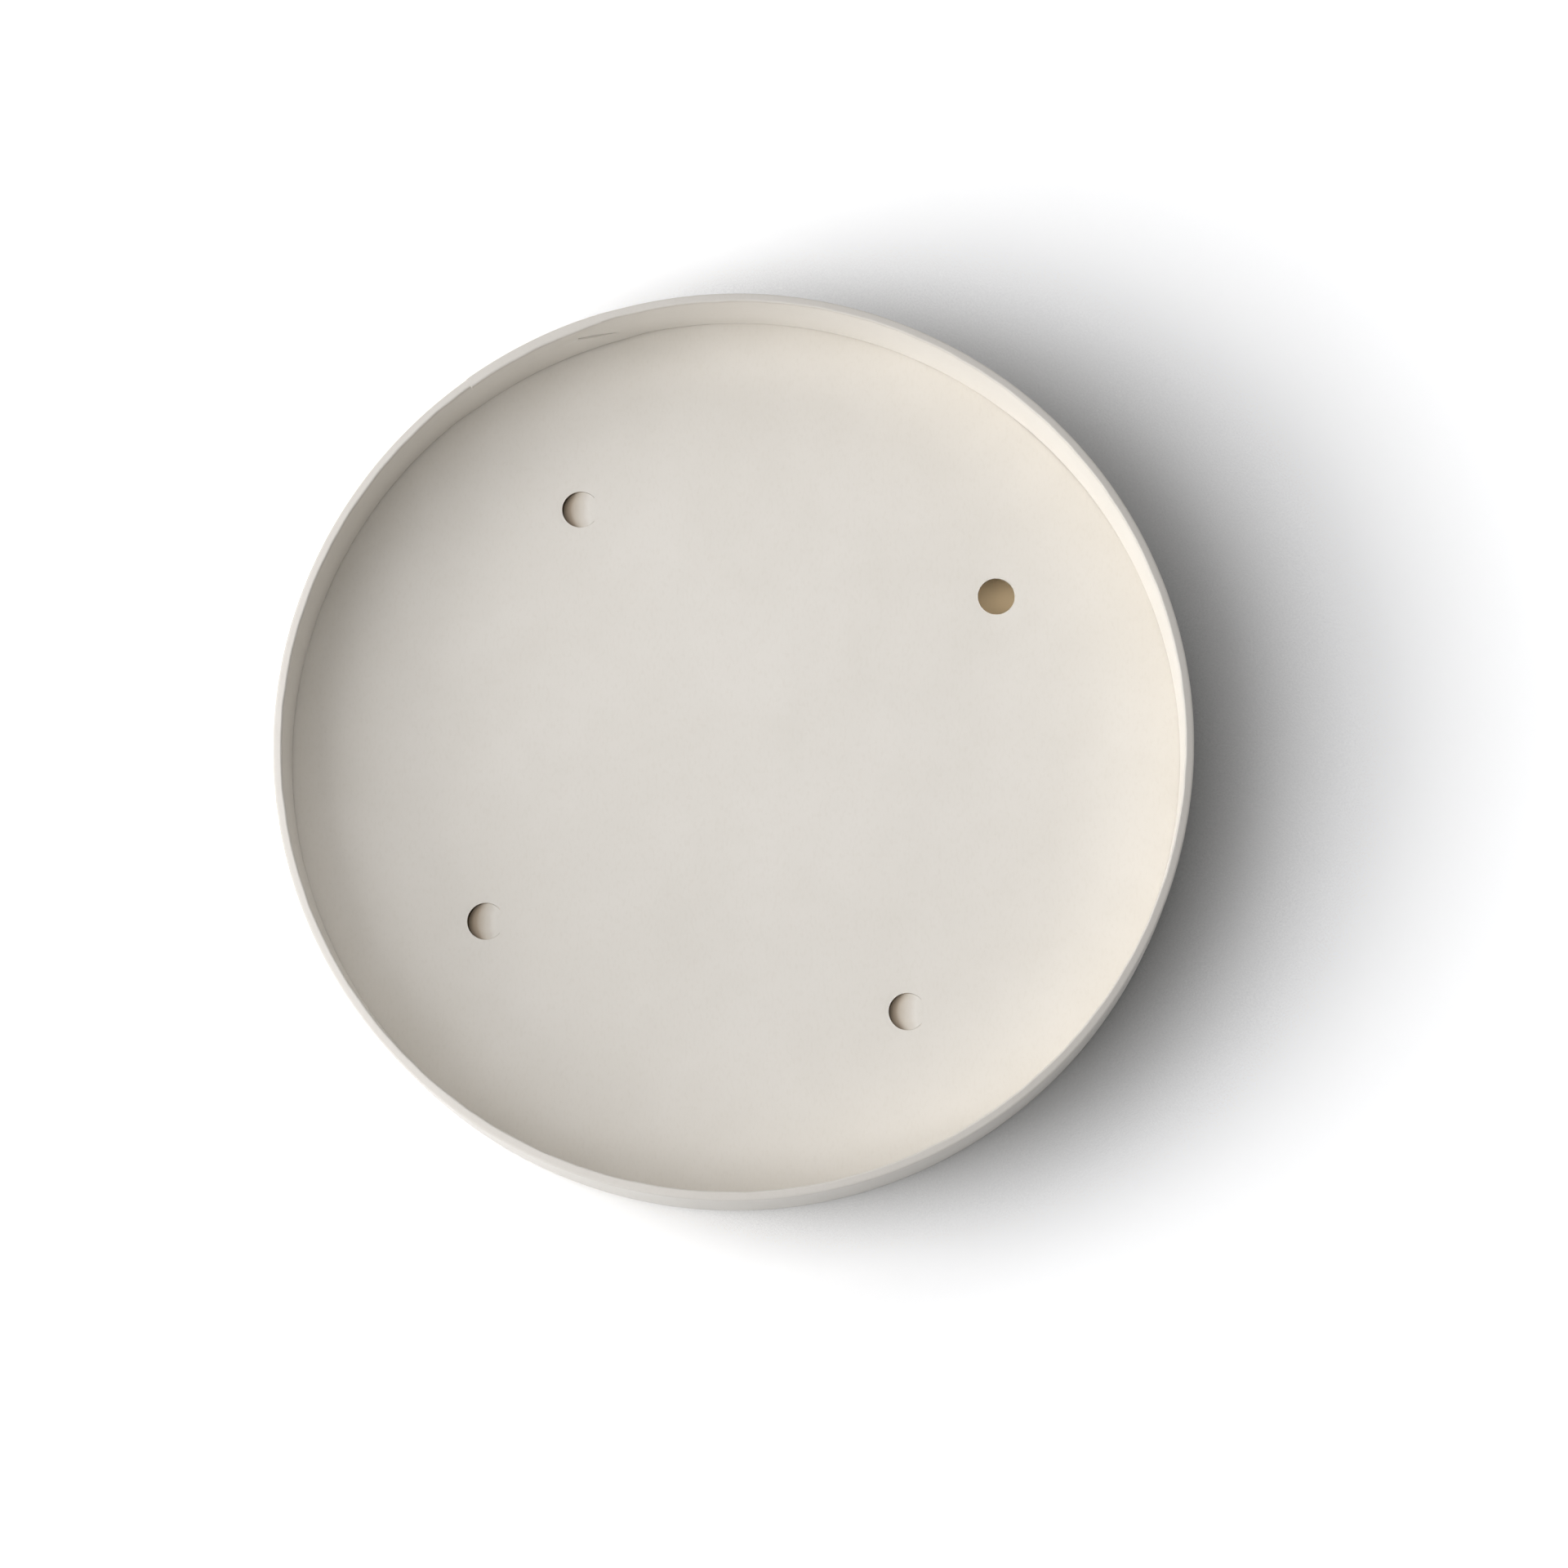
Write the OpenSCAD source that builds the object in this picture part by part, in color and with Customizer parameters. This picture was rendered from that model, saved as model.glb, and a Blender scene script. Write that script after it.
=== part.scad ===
// Vented paperboard cup lid, lying on its closed end with the open side up.
// A rolled strip makes the side ring. A flanged disc with four punched vents closes it.
// +Z is up. The origin is the centre of the fold that the lid rests on.

/* [Board] */
// Thickness of the paperboard
board_t = 0.36; // [0.3:0.01:0.42]
// Film of glue between two layers of board
glue_t = 0.03; // [0.02:0.01:0.05]

/* [Ring] */
// Outer diameter of the side ring
ring_d = 117.4; // [80:0.2:130]
// Height of the whole lid
lid_h = 16.5; // [14:0.1:22]
// Width of the rounded rim, across its two layers of board
rim_w = 1.16; // [1.1:0.01:1.5]
// Raw edge of the rim's inner layer, above the disc
raw_edge_gap = 0.15; // [0.08:0.01:0.3]
// How far the resting fold is pressed flat
fold_press = 0.06; // [0.04:0.01:0.1]

/* [Lap seam] */
// Angle at which the lap begins at the hem, from +X
lap_from = 108; // [100:1:114]
// Angle at which the lap ends, from +X
lap_to = 126; // [120:1:150]
// Step that the pressed lap makes on the inner face
lap_step = 0.2; // [0.1:0.01:0.24]
// How far the lap's folds lie below the rim and above the hem
lap_drop = 0.04; // [0.03:0.01:0.08]
// How far the lap's raw edge lies above the inner layer's
lap_rise = 0.05; // [0.04:0.01:0.1]
// Angle at which the trimmed corner crosses the middle of the wall, from +X
lap_trim_at = 108.5; // [104:0.5:112]
// Slope of the trimmed corner, from level
lap_trim_angle = 40; // [35:1:60]

/* [Disc] */
// Depth of the recess outside the disc
recess_d = 4.7; // [4.4:0.1:6]
// Outer radius of the bend between the disc and its flange
bend_r = 0.7; // [0.5:0.05:1]
// Clearance between the flange's edge and the resting fold
flange_gap = 0.15; // [0.1:0.01:0.3]

/* [Vents] */
// Number of vents
vent_n = 4; // [2:1:6]
// Diameter of a vent
vent_d = 4.8; // [3:0.1:6]
// Radius of the circle that the vents lie on
vent_circle_r = 39.3; // [26:0.1:44]
// Angle of the open vent, from +X
vent_angle = 32.6; // [0:0.1:45]
// Offset of the vent pattern from the disc's centre, along X
vent_shift_x = 0.9; // [-2:0.1:2]
// Offset of the vent pattern from the disc's centre, along Y
vent_shift_y = -0.5; // [-2:0.1:2]
// Width of the punched cut round a flap
flap_kerf = 0.08; // [0.04:0.01:0.15]
// Radius to which a pushed flap is bent
flap_bend_r = 6.5; // [5:0.1:12]
// Board left uncut at a flap's hinge, as an angle of the vent
flap_hinge_angle = 80; // [50:1:100]

/* [Hidden] */
$fn = 180;
section_fn = 64;
over = 1;
ring_r = ring_d / 2;
rim_r = rim_w / 2;
hem_w = 3 * board_t + 2 * glue_t;
hem_r = hem_w / 2;
hem_z = hem_r - fold_press;
flange_r = ring_r - board_t - glue_t;
disc_top = recess_d + board_t;
inner_r = ring_r - rim_w;
hem_inner_r = ring_r - hem_w;
hem_top = recess_d - bend_r;
inner_low = disc_top + raw_edge_gap;
vent_r = vent_d / 2;
lap_trim_reach = 12;

module ply(r, low, high, thick = board_t) {
  translate([r, low])
    square([thick, high - low]);
}

module half_fold(r, z, radius, thick, side) {
  translate([r, z])
    intersection() {
      difference() {
        circle(r = radius, $fn = section_fn);
        circle(r = radius - thick, $fn = section_fn);
      }
      translate([-radius, side > 0 ? 0 : -radius])
        square([2 * radius, radius]);
    }
}

// The rim: the wall, the rounded fold over the free edge and the layer turned down inside
module rim_section() {
  ply(ring_r - board_t, hem_z, lid_h - rim_r);
  half_fold(ring_r - rim_r, lid_h - rim_r, rim_r, board_t, 1);
  ply(inner_r, inner_low, lid_h - rim_r);
}

// The hem: the fold that the lid rests on and the layer that holds the disc's flange
module hem_section() {
  intersection() {
    half_fold(ring_r - hem_r, hem_z, hem_r, board_t, -1);
    translate([ring_r - hem_w, 0])
      square([hem_w, hem_r]);
  }
  ply(hem_inner_r, hem_z, hem_top);
}

// The lap's second thickness at a fold: a smaller round, blended into the fold's own board
module lap_fold(inner, fold_mid, fold_radius, z, side) {
  round_r = fold_radius - lap_drop;
  round_mid = inner - lap_step + round_r;
  translate([0, z])
    mirror([0, side > 0 ? 0 : 1])
      difference() {
        union() {
          intersection() {
            translate([round_mid, 0])
              circle(r = round_r, $fn = section_fn);
            translate([round_mid - round_r, 0])
              square(round_r);
          }
          translate([round_mid, 0])
            square([fold_mid - round_mid, round_r]);
        }
        translate([fold_mid, 0])
          circle(r = fold_radius - board_t / 2, $fn = section_fn);
      }
}

module wedge(from, to) {
  rotate([0, 0, from])
    rotate_extrude(angle = to - from)
      children();
}

// The trimmed corner: everything of the lap beyond a slanted plane through the wall's middle
module beyond_trim() {
  far = 3 * lid_h;
  rotate([0, 0, lap_trim_at])
    translate([0, 0, (inner_low + lid_h) / 2])
      rotate([90 - lap_trim_angle, 0, 0])
        translate([0, -far, -far / 2])
          cube([ring_r, far, far]);
}

// The lap: the second thickness of strip, pressed inwards at the rim, the inner layer and the hem
module lap() {
  wedge(lap_from, lap_to) {
    lap_fold(hem_inner_r, ring_r - hem_r, hem_r, hem_z, -1);
    ply(hem_inner_r - lap_step, hem_z, hem_top, lap_step + board_t / 2);
  }
  difference() {
    wedge(lap_trim_at - lap_trim_reach, lap_to) {
      ply(inner_r - lap_step, inner_low + lap_rise, lid_h - rim_r, lap_step + board_t / 2);
      lap_fold(inner_r, ring_r - rim_r, rim_r, lid_h - rim_r, 1);
    }
    beyond_trim();
  }
}

module side_ring() {
  color([0.87, 0.85, 0.82])
    union() {
      rotate_extrude() {
        rim_section();
        hem_section();
      }
      lap();
    }
}

// The disc and its flange, with a rounded bend between them
module disc_section() {
  translate([0, recess_d])
    square([flange_r - bend_r, board_t]);
  translate([flange_r - bend_r, disc_top - bend_r])
    intersection() {
      difference() {
        circle(r = bend_r, $fn = section_fn);
        circle(r = bend_r - board_t, $fn = section_fn);
      }
      square(bend_r);
    }
  ply(flange_r - board_t, hem_z + flange_gap, disc_top - bend_r);
}

// A round flap, still joined to the board on its +X side and curling down towards -X
module vent_flap() {
  hinge_x = vent_r * cos(flap_hinge_angle / 2);
  intersection() {
    translate([0, 0, -vent_d])
      cylinder(r = vent_r - flap_kerf, h = vent_d + board_t + over);
    translate([hinge_x - vent_d, -vent_d, -vent_d])
      cube([vent_d, 2 * vent_d, 2 * vent_d]);
    translate([hinge_x, vent_d, -flap_bend_r])
      rotate([90, 0, 0])
        difference() {
          cylinder(r = flap_bend_r + board_t, h = 2 * vent_d);
          cylinder(r = flap_bend_r, h = 2 * vent_d);
        }
  }
}

module vent_cut(has_flap) {
  hinge_x = vent_r * cos(flap_hinge_angle / 2);
  intersection() {
    translate([0, 0, -over])
      cylinder(r = vent_r, h = board_t + 2 * over);
    translate([-vent_d, -vent_d, -vent_d])
      cube([has_flap ? vent_d + hinge_x : 2 * vent_d, 2 * vent_d, 2 * vent_d]);
  }
}

module at_vent(k) {
  translate([vent_shift_x, vent_shift_y, recess_d])
    rotate([0, 0, vent_angle + k * 360 / vent_n])
      translate([vent_circle_r, 0, 0])
        rotate([0, 0, -vent_angle - k * 360 / vent_n])
          children();
}

module top_disc() {
  color([0.85, 0.82, 0.79]) {
    difference() {
      rotate_extrude()
        disc_section();
      for (k = [0 : vent_n - 1])
        at_vent(k)
          vent_cut(k > 0);
    }
    for (k = [1 : vent_n - 1])
      at_vent(k)
        vent_flap();
  }
}

top_disc();
side_ring();
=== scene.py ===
# %% [markdown]
# # A paperboard cup lid, lying open side up
# The lid is two pieces of off-white board: a rolled and folded strip, the side ring, and a disc
# with four punched vents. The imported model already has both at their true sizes. This lesson
# loads that model, measures it, and lays finely modelled board over it: the rounded rim, the
# lap seam, the curling vent flaps and the small unevenness that makes paper look like paper.

# %% Load the frame
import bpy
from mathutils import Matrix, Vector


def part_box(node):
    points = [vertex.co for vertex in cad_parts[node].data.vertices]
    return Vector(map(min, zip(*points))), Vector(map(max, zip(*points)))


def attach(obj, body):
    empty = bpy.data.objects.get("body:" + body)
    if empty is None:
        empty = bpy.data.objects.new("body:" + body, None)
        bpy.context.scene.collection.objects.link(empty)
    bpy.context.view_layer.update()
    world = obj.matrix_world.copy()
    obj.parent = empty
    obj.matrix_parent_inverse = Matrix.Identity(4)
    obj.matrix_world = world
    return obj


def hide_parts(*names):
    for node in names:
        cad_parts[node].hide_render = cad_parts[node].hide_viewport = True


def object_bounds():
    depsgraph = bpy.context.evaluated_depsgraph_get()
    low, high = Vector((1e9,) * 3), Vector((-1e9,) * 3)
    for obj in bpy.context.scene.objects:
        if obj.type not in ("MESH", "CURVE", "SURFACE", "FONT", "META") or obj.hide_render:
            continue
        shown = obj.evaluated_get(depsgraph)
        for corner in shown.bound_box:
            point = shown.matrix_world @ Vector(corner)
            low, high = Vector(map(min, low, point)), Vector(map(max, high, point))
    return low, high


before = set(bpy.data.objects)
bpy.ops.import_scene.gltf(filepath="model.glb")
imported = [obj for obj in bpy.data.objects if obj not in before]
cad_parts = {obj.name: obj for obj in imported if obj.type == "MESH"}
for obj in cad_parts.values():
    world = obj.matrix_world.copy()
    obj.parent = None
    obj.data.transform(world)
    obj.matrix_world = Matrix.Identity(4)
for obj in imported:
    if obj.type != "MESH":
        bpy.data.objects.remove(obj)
cad_low, cad_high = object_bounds()
print("the packed lid measures", [round(v * 1000, 2) for v in cad_high - cad_low], "mm")

# %% [markdown]
# ## Read the sizes from the model
# A second set of numbers would drift away from the first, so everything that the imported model
# can say is read from it. The boxes of the two nodes give the outer radius, the height and the
# level of the disc. The rim's width is the one size of the ring that has to be written here.

# %% Sizes from the frame
import math
import bpy
import numpy as np
from mathutils import Matrix, Vector, geometry

MM = 0.001
RIM_W = 1.16 * MM
disc_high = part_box("top_disc")[1]
RING_R = min(cad_high.x, cad_high.y, -cad_low.x, -cad_low.y)
LID_H = cad_high.z
INNER_R = RING_R - RIM_W
DISC_TOP = disc_high.z
print(f"ring radius {RING_R / MM:.2f} mm, inner radius {INNER_R / MM:.2f} mm")
print(f"lid height {LID_H / MM:.2f} mm, disc top {DISC_TOP / MM:.2f} mm")

# %% [markdown]
# ## The board and its folds
# The model doesn't say how thick one layer of board is, so the few sizes of the folds are
# written here once. They are the real object's sizes: cup board is about a third of a
# millimetre thick, and a fold can't be tighter than the board lets it.

# %% Sizes of the board and its folds
BOARD_T = 0.36 * MM
GLUE_T = 0.03 * MM
BEND_R = 0.7 * MM
RAW_EDGE_GAP = 0.15 * MM
FOLD_PRESS = 0.06 * MM
FLANGE_GAP = 0.15 * MM
RIM_R = RIM_W / 2
HEM_W = 3 * BOARD_T + 2 * GLUE_T
HEM_R = HEM_W / 2
HEM_Z = HEM_R - FOLD_PRESS
RECESS_D = DISC_TOP - BOARD_T
HEM_TOP = RECESS_D - BEND_R
FLANGE_R = RING_R - BOARD_T - GLUE_T
INNER_LOW = DISC_TOP + RAW_EDGE_GAP
FOLD_Z = LID_H - RIM_R
print(f"rim {RIM_W / MM:.2f} mm wide, hem {HEM_W / MM:.2f} mm wide")
print(f"recess {RECESS_D / MM:.2f} mm deep")

# %% [markdown]
# ## Set up the camera first
# The photograph was taken from almost straight above, with a long lens, leaning a little to
# the near side. The camera could be placed by eye, but that would leave an error in it. Instead
# its place was worked out: the lean and the distance come from how the rim, the disc and the vents
# line up and are given here, and the aim is turned until the rim's centre falls on its pixel.

# %% Camera
IMAGE_PX = 1920
SENSOR_MM = 36
FOCAL_PX = 5433
CAMERA_DISTANCE = 0.5639
CAMERA_LEAN = math.radians(10.05)
CAMERA_TURN = math.radians(-80)
RIM_CENTRE_PX = (897, 905)


def make_camera():
    toward = Vector((
        math.sin(CAMERA_LEAN) * math.cos(CAMERA_TURN),
        math.sin(CAMERA_LEAN) * math.sin(CAMERA_TURN),
        math.cos(CAMERA_LEAN),
    ))
    place = Vector((0, 0, LID_H)) + toward * CAMERA_DISTANCE
    right = Vector((0, 1, 0)).cross(toward).normalized()
    up = toward.cross(right)
    px = CAMERA_DISTANCE / FOCAL_PX
    aim = Vector((0, 0, LID_H))
    aim += right * (IMAGE_PX / 2 - RIM_CENTRE_PX[0]) * px
    aim -= up * (IMAGE_PX / 2 - RIM_CENTRE_PX[1]) * px
    back = (place - aim).normalized()
    side = up.cross(back).normalized()
    data = bpy.data.cameras.new("camera")
    data.sensor_width = SENSOR_MM
    data.lens = FOCAL_PX / IMAGE_PX * SENSOR_MM
    data.clip_start = 0.01
    data.clip_end = 20
    camera = bpy.data.objects.new("camera", data)
    turn = Matrix((side, back.cross(side), back)).transposed().to_4x4()
    camera.matrix_world = Matrix.Translation(place) @ turn
    bpy.context.scene.collection.objects.link(camera)
    bpy.context.scene.camera = camera
    return camera


camera = make_camera()
print(f"camera: {camera.data.lens:.1f} mm lens, {camera.location.z * 1000:.0f} mm above the floor")

# %% [markdown]
# ## Small helpers
# Smooth steps and waves are used all over the lid: for the lap that swells the rim, for the
# raw edge that wanders up and down, and for the slight out-of-roundness of a rolled strip.

# %% Helpers for smooth shapes
SHARP_ANGLE = math.radians(38)


def smooth_step(low, high, value):
    t = np.clip((value - low) / (high - low), 0, 1)
    return t * t * (3 - 2 * t)


def wave(angle, terms):
    """A sum of cosines round the lid. Each term is (waves per turn, height, phase in degrees)."""
    total = np.zeros_like(angle)
    for turns, height, phase in terms:
        total += height * np.cos(turns * angle - math.radians(phase))
    return total


def new_piece(name, points, faces, material_of_face, materials):
    """A mesh object from arrays, smooth except where two faces meet at a clear edge."""
    mesh = bpy.data.meshes.new(name)
    mesh.from_pydata(points.tolist(), [], faces)
    for material in materials:
        mesh.materials.append(material)
    mesh.polygons.foreach_set("material_index", material_of_face)
    mesh.polygons.foreach_set("use_smooth", np.ones(len(faces), dtype=bool))
    mesh.set_sharp_from_angle(angle=SHARP_ANGLE)
    mesh.update()
    piece = bpy.data.objects.new(name, mesh)
    bpy.context.scene.collection.objects.link(piece)
    triangles = sum(len(face) - 2 for face in faces)
    print(f"{name}: {len(points)} points, {triangles} triangles")
    return piece


# %% [markdown]
# ## The board's finish
# Cup board is bleached fibre with a thin moisture barrier. Close up it is matt, a touch cloudy
# where the fibres lie denser, and very slightly uneven. One function builds that finish, so the
# disc and the ring share it and differ only in colour and roughness. Noise in the object's own
# space needs no unwrapping, and it doesn't slide when the camera moves. The crest of the rim is
# drawn a little darker, as painted shade for a crest that slopes away from the light.

# %% Board finish
PLAIN = ((0, (1, 1, 1)), (1, (1, 1, 1)))
# Painted shade: the rim's crest is drawn a little darker between these two heights.
CREST_PAINTED_SHADE = ((0, (1, 1, 1)), (1, (0.87, 0.86, 0.85)))
CREST_SHADE_HEIGHTS = (LID_H - 0.9 * MM, LID_H - 0.3 * MM)
NOISE_ROUGHNESS = 0.6
CLOUD_SCALE = 90
CLOUD_STOPS = (0.32, 0.68)
FLECK_SCALE = 2600
FLECK_STRETCH = (1, 0.45, 1)
FLECK_TINT = ((0.30, (0.94, 0.93, 0.91)), (0.5, (1, 1, 1)))
FLECK_AMOUNT = 0.35
SHEEN_SCALE = 420
SHEEN_RANGE = (-0.05, 0.07)
BOARD_SPECULAR = 0.32
FIBRE_SCALE = 5200
FIBRE_STRETCH = (1, 0.4, 1)
FIBRE_SHARE = 0.35
DIMPLE_SCALE = 700
BOARD_BUMP = 0.35
BOARD_BUMP_DEPTH = 0.00006


def add_node(tree, kind, inputs=None, **settings):
    node = tree.nodes.new(kind)
    for key, value in settings.items():
        setattr(node, key, value)
    for key, value in (inputs or {}).items():
        node.inputs[key].default_value = value
    return node


def noise(tree, place, scale, detail=4.0, stretch=(1, 1, 1)):
    mapping = add_node(tree, "ShaderNodeMapping", {"Scale": stretch})
    tree.links.new(place, mapping.inputs["Vector"])
    values = {"Scale": scale, "Detail": detail, "Roughness": NOISE_ROUGHNESS}
    texture = add_node(tree, "ShaderNodeTexNoise", values)
    tree.links.new(mapping.outputs["Vector"], texture.inputs["Vector"])
    return texture.outputs["Fac"]


def ramp(tree, value, stops):
    node = tree.nodes.new("ShaderNodeValToRGB")
    elements = node.color_ramp.elements
    while len(elements) < len(stops):
        elements.new(0.5)
    for element, (position, colour) in zip(elements, stops):
        element.position = position
        element.color = (*colour, 1)
    tree.links.new(value, node.inputs["Fac"])
    return node.outputs["Color"]


def mix_colours(tree, kind, amount, first, second):
    node = add_node(tree, "ShaderNodeMix", data_type="RGBA", blend_type=kind)
    node.inputs["Factor"].default_value = amount
    tree.links.new(first, node.inputs["A"])
    tree.links.new(second, node.inputs["B"])
    return node.outputs["Result"]


def tint_by_height(tree, place, colour, heights, tints):
    """Multiply the colour by a ramp of tints that runs between two heights."""
    split = tree.nodes.new("ShaderNodeSeparateXYZ")
    tree.links.new(place, split.inputs["Vector"])
    share = add_node(tree, "ShaderNodeMapRange", {"From Min": heights[0], "From Max": heights[1]})
    tree.links.new(split.outputs["Z"], share.inputs["Value"])
    return mix_colours(tree, "MULTIPLY", 1, colour, ramp(tree, share.outputs["Result"], tints))


def board_material(name, pale, deep, roughness, grain=1.0, heights=(0, 1), tints=PLAIN):
    """Off-white board: cloudy formation, fine fibre flecks and a barely uneven surface."""
    material = bpy.data.materials.new(name)
    material.use_nodes = True
    tree = material.node_tree
    shader = tree.nodes["Principled BSDF"]
    place = tree.nodes.new("ShaderNodeTexCoord").outputs["Object"]
    cloud = noise(tree, place, CLOUD_SCALE, 3)
    cloud_colour = ramp(tree, cloud, list(zip(CLOUD_STOPS, (deep, pale))))
    fleck = noise(tree, place, FLECK_SCALE, 2, FLECK_STRETCH)
    fleck_colour = ramp(tree, fleck, FLECK_TINT)
    colour = mix_colours(tree, "MULTIPLY", FLECK_AMOUNT * grain, cloud_colour, fleck_colour)
    # The tint by height is painted shade: it darkens the rim's crest and the sunken flaps.
    tree.links.new(tint_by_height(tree, place, colour, heights, tints), shader.inputs["Base Color"])
    sheen = {"To Min": roughness + SHEEN_RANGE[0], "To Max": roughness + SHEEN_RANGE[1]}
    rough = add_node(tree, "ShaderNodeMapRange", sheen)
    tree.links.new(noise(tree, place, SHEEN_SCALE, 3), rough.inputs["Value"])
    tree.links.new(rough.outputs["Result"], shader.inputs["Roughness"])
    shader.inputs["Specular IOR Level"].default_value = BOARD_SPECULAR
    height = add_node(tree, "ShaderNodeMath", operation="MULTIPLY_ADD")
    height.inputs[1].default_value = FIBRE_SHARE
    tree.links.new(noise(tree, place, FIBRE_SCALE, 3, FIBRE_STRETCH), height.inputs[0])
    tree.links.new(noise(tree, place, DIMPLE_SCALE, 4), height.inputs[2])
    bump_values = {"Strength": BOARD_BUMP * grain, "Distance": BOARD_BUMP_DEPTH}
    bump = add_node(tree, "ShaderNodeBump", bump_values)
    tree.links.new(height.outputs["Value"], bump.inputs["Height"])
    tree.links.new(bump.outputs["Normal"], shader.inputs["Normal"])
    return material


DISC_PALE, DISC_DEEP = (0.812, 0.765, 0.684), (0.785, 0.738, 0.655)
RING_PALE, RING_DEEP = (0.805, 0.765, 0.695), (0.783, 0.742, 0.670)
DISC_ROUGHNESS, RING_ROUGHNESS, RING_GRAIN = 0.62, 0.55, 0.8
disc_board = board_material("disc_board", DISC_PALE, DISC_DEEP, DISC_ROUGHNESS)
ring_board = board_material(
    "ring_board", RING_PALE, RING_DEEP, RING_ROUGHNESS, RING_GRAIN, CREST_SHADE_HEIGHTS, CREST_PAINTED_SHADE
)
print("board finishes:", disc_board.name, ring_board.name)

# %% [markdown]
# ## The flaps' finish and painted shade
# A flap that was pushed down sinks into the shade of the cut's edge, and that shade is painted:
# the same board finish serves, with a tint by height that turns it darker and warmer the further
# it sinks. Only the upper faces of the flaps get it, because the underside of the disc lies at
# those heights too.

# %% Flap finish and painted shade
# Painted shade: darker and warmer the deeper a flap lies below the disc's top.
SINK_PAINTED_SHADE = (
    (0.00, (0.40, 0.33, 0.26)),
    (0.30, (0.48, 0.41, 0.34)),
    (0.50, (0.66, 0.61, 0.55)),
    (0.72, (0.79, 0.76, 0.72)),
    (0.90, (0.87, 0.85, 0.83)),
    (1.00, (1.00, 1.00, 1.00)),
)
SINK_SHADE_HEIGHTS = (DISC_TOP - 0.75 * MM, DISC_TOP - 0.02 * MM)
FLAP_ROUGHNESS, FLAP_GRAIN = 0.7, 1.0
flap_shaded_board = board_material(
    "flap_shaded_board", DISC_PALE, DISC_DEEP, FLAP_ROUGHNESS, FLAP_GRAIN, SINK_SHADE_HEIGHTS, SINK_PAINTED_SHADE
)
print("flap finish:", flap_shaded_board.name)

# %% [markdown]
# ## The raw edge of the board
# Where the board was punched or slit, its inside shows: a little darker, warmer and rougher
# than the coated faces. It is only a third of a millimetre wide, but it draws the outline of
# every vent and of the ring's inner layer, so it has a finish of its own.

# %% Raw edge finish
LAYER_SCALE = 1500
LAYER_STRETCH = (1, 1, 6)
LAYER_TINT = ((0.3, (0.50, 0.43, 0.34)), (0.7, (0.70, 0.64, 0.55)))
RAW_ROUGHNESS, RAW_SPECULAR = 0.9, 0.2
RAW_BUMP, RAW_BUMP_DEPTH = 0.6, 0.00008


def raw_edge_material():
    material = bpy.data.materials.new("raw_edge")
    material.use_nodes = True
    tree = material.node_tree
    shader = tree.nodes["Principled BSDF"]
    place = tree.nodes.new("ShaderNodeTexCoord").outputs["Object"]
    layers = noise(tree, place, LAYER_SCALE, 4, LAYER_STRETCH)
    tree.links.new(ramp(tree, layers, LAYER_TINT), shader.inputs["Base Color"])
    shader.inputs["Roughness"].default_value = RAW_ROUGHNESS
    shader.inputs["Specular IOR Level"].default_value = RAW_SPECULAR
    bump = add_node(tree, "ShaderNodeBump", {"Strength": RAW_BUMP, "Distance": RAW_BUMP_DEPTH})
    tree.links.new(layers, bump.inputs["Height"])
    tree.links.new(bump.outputs["Normal"], shader.inputs["Normal"])
    return material


raw_edge = raw_edge_material()
print("raw edge finish:", raw_edge.name)

# %% [markdown]
# ## The side ring's section
# On the real lid one strip does three jobs. It stands as the wall, folds over at the top and
# runs down inside to the disc, and folds under at the bottom to grip the disc's flange. Cut
# through, it is one line of board with two hairpin bends. The section is written as that line,
# point by point: first the face that shows, from the raw edge inside, over the rim, down the
# outside and under the hem, and then back along the hidden face. The rim could be a plain half
# round, but in the photograph its crest is highest at the inner side and slopes outwards.

# %% Section of the side ring


def arc(centre_r, centre_z, radius, start, end, count):
    turn = np.radians(np.linspace(start, end, count))
    return np.column_stack([centre_r + radius * np.cos(turn), centre_z + radius * np.sin(turn)])


def straight(r, low, high, count):
    return np.column_stack([np.full(count, r), np.linspace(low, high, count)])


EDGE_ROUND = 0.05 * MM
CREST_SLOPE = 18
CREST_IN_R = 0.2 * MM
CREST_OUT_R = 0.42 * MM
rim_mid = RING_R - RIM_R


def crest(inner_x, outer_x, top):
    """The rounded rim: a tight bend inside, a crest sloping outwards and a wide bend outside."""
    facing = 90 - CREST_SLOPE
    run = (outer_x - CREST_OUT_R) - (inner_x + CREST_IN_R)
    fall = run * math.tan(math.radians(CREST_SLOPE))
    fall += (CREST_OUT_R - CREST_IN_R) / math.cos(math.radians(CREST_SLOPE))
    high = top - CREST_IN_R
    tight = arc(inner_x + CREST_IN_R, high, CREST_IN_R, 180, facing, 8)
    wide = arc(outer_x - CREST_OUT_R, high - fall, CREST_OUT_R, facing, 0, 9)
    slope = tight[-1] + (wide[0] - tight[-1]) * np.linspace(0, 1, 5)[1:-1, None]
    return np.vstack([tight, slope, wide])


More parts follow.
